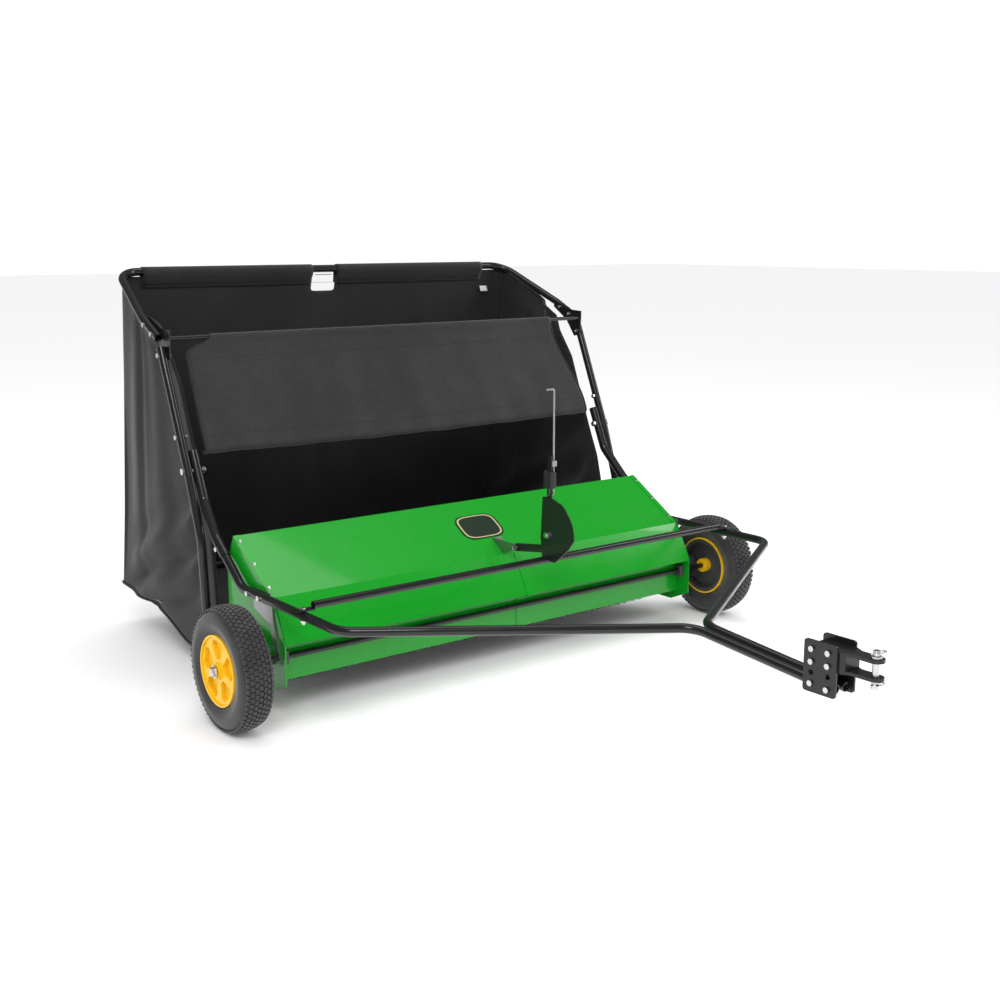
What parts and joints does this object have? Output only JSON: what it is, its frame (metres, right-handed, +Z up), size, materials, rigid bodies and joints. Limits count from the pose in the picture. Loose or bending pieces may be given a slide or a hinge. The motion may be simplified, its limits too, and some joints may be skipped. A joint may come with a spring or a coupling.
{
  "type": "lawn sweeper",
  "caption": "Tow-behind lawn sweeper: wheel-driven rotary brush under a steel housing, drawbar with pin hitch, height lever and a tipping cloth hopper with a mesh screen.",
  "frame": {"origin": "on the ground under the middle of the wheel axle, midway between the wheels", "axes": "+X across the machine along the wheel axle, -Y forwards to the hitch, +Y back to the hopper, +Z up"},
  "size_m": [1.45, 1.8399, 0.8865],
  "materials": {
    "green_steel": "gloss green paint",
    "black_tube": "satin black paint",
    "zinc_plate": "zinc plated",
    "zinc_fastener": "zinc plated",
    "black_lever": "black paint",
    "tyre_rubber": "matte",
    "yellow_plastic": "moulded",
    "black_plastic": "moulded",
    "gear_plastic": "moulded",
    "bristle": "filament",
    "belt_rubber": "matte",
    "bag_cloth": "woven",
    "screen_mesh": "open weave",
    "badge": "printed blank"
  },
  "bodies": {
    "housing": {"top_panel": "green_steel", "front_shell_left": "green_steel", "front_shell_right": "green_steel", "seam_strap": "green_steel", "side_plate_left": "green_steel", "side_plate_right": "green_steel", "name_plate": "badge", "panel_screws": "zinc_fastener", "axle_rod": "zinc_plate", "shaft_bearings": "gear_plastic", "gear_cases": "green_steel", "drive_belts": "belt_rubber", "housing_lug": "zinc_plate", "hub_nuts": "zinc_fastener"},
    "wheel_left": {"tyre_left": "tyre_rubber", "wheel_left": "yellow_plastic", "ring_gear_left": "gear_plastic"},
    "wheel_right": {"tyre_right": "tyre_rubber", "wheel_right": "yellow_plastic", "ring_gear_right": "gear_plastic"},
    "pinion_left": {"pinion_left": "gear_plastic"},
    "pinion_right": {"pinion_right": "gear_plastic"},
    "brush": {"brush_shaft": "zinc_plate", "brush_spiders": "gear_plastic", "brush_bars": "zinc_plate", "bristle_strips": "bristle"},
    "draw_frame": {"draw_tube_left": "black_tube", "draw_tube_right": "black_tube", "cross_tube": "black_tube", "draw_frame_bolts": "zinc_fastener", "lever_sector": "black_lever", "axle_bracket_left": "zinc_plate", "axle_bracket_right": "zinc_plate", "hopper_arm_left": "black_tube", "hopper_arm_right": "black_tube", "hitch_plates": "black_tube", "hitch_bolts": "zinc_fastener", "clevis": "zinc_plate", "dump_pivot_bolts": "zinc_fastener"},
    "lever": {"lever_arm": "black_lever", "lever_grip": "black_plastic", "release_rod_guide": "zinc_plate", "link_top_pin": "zinc_fastener"},
    "release_rod": {"release_rod": "zinc_fastener"},
    "lift_link": {"lift_link": "black_lever"},
    "hitch_pin": {"hitch_pin": "zinc_fastener"},
    "hairpin_lower": {"hairpin_lower": "zinc_fastener"},
    "hairpin_upper": {"hairpin_upper": "zinc_fastener"},
    "hopper": {"hopper_top_tube": "black_tube", "front_leg_left": "black_tube", "front_leg_right": "black_tube", "lower_leg_left": "black_tube", "lower_leg_right": "black_tube", "bottom_frame": "black_tube", "hopper_bolts": "zinc_fastener", "foot_spacers": "zinc_fastener", "knee_gussets": "black_tube", "windscreen_rod": "black_tube", "windscreen": "screen_mesh", "hopper_bag": "bag_cloth"}
  },
  "joints": [
    {"name": "wheel_left_spin", "type": "hinge", "parent": "housing", "child": "wheel_left", "pos_m": [0, 0, 0.127], "axis": [1, 0, 0], "continuous": true},
    {"name": "wheel_right_spin", "type": "hinge", "parent": "housing", "child": "wheel_right", "pos_m": [0, 0, 0.127], "axis": [1, 0, 0], "continuous": true},
    {"name": "pinion_left_spin", "type": "hinge", "parent": "housing", "child": "pinion_left", "pos_m": [0, 0.045, 0.127], "axis": [1, 0, 0], "continuous": true},
    {"name": "pinion_right_spin", "type": "hinge", "parent": "housing", "child": "pinion_right", "pos_m": [0, 0.045, 0.127], "axis": [1, 0, 0], "continuous": true},
    {"name": "brush_spin", "type": "hinge", "parent": "housing", "child": "brush", "pos_m": [0, 0.15, 0.138], "axis": [1, 0, 0], "continuous": true},
    {"name": "height_tilt", "type": "hinge", "parent": "housing", "child": "draw_frame", "pos_m": [0, 0, 0.127], "axis": [1, 0, 0], "range_deg": [0, 6]},
    {"name": "lever_swing", "type": "hinge", "parent": "draw_frame", "child": "lever", "pos_m": [0.024, -0.125, 0.318], "axis": [1, 0, 0], "range_deg": [0, 28.5]},
    {"name": "lift_link_swing", "type": "hinge", "parent": "housing", "child": "lift_link", "pos_m": [0.024, -0.008, 0.268], "axis": [1, 0, 0], "range_deg": [0, 4.5]},
    {"name": "release_slide", "type": "slide", "parent": "lever", "child": "release_rod", "axis": [0, 0, 1], "range_m": [0, 0.012]},
    {"name": "hitch_pin_swivel", "type": "hinge", "parent": "draw_frame", "child": "hitch_pin", "pos_m": [0, -1.006, 0.252], "axis": [0, 0, 1], "continuous": true},
    {"name": "hairpin_lower_pull", "type": "slide", "parent": "hitch_pin", "child": "hairpin_lower", "axis": [1, 0, 0], "range_m": [0, 0.032]},
    {"name": "hairpin_upper_pull", "type": "slide", "parent": "hitch_pin", "child": "hairpin_upper", "axis": [1, 0, 0], "range_m": [0, 0.032]},
    {"name": "hopper_dump", "type": "hinge", "parent": "draw_frame", "child": "hopper", "pos_m": [0, 0.33149, 0.465], "axis": [1, 0, 0], "range_deg": [0, 90]}
  ],
  "couplings": [
    {"joint": "wheel_right_spin", "follows": "wheel_left_spin", "ratio": 1},
    {"joint": "pinion_left_spin", "follows": "wheel_left_spin", "ratio": 4},
    {"joint": "pinion_right_spin", "follows": "wheel_left_spin", "ratio": 4},
    {"joint": "brush_spin", "follows": "wheel_left_spin", "ratio": 4},
    {"joint": "lever_swing", "follows": "height_tilt", "ratio": 4.75},
    {"joint": "lift_link_swing", "follows": "height_tilt", "ratio": 0.75}
  ]
}
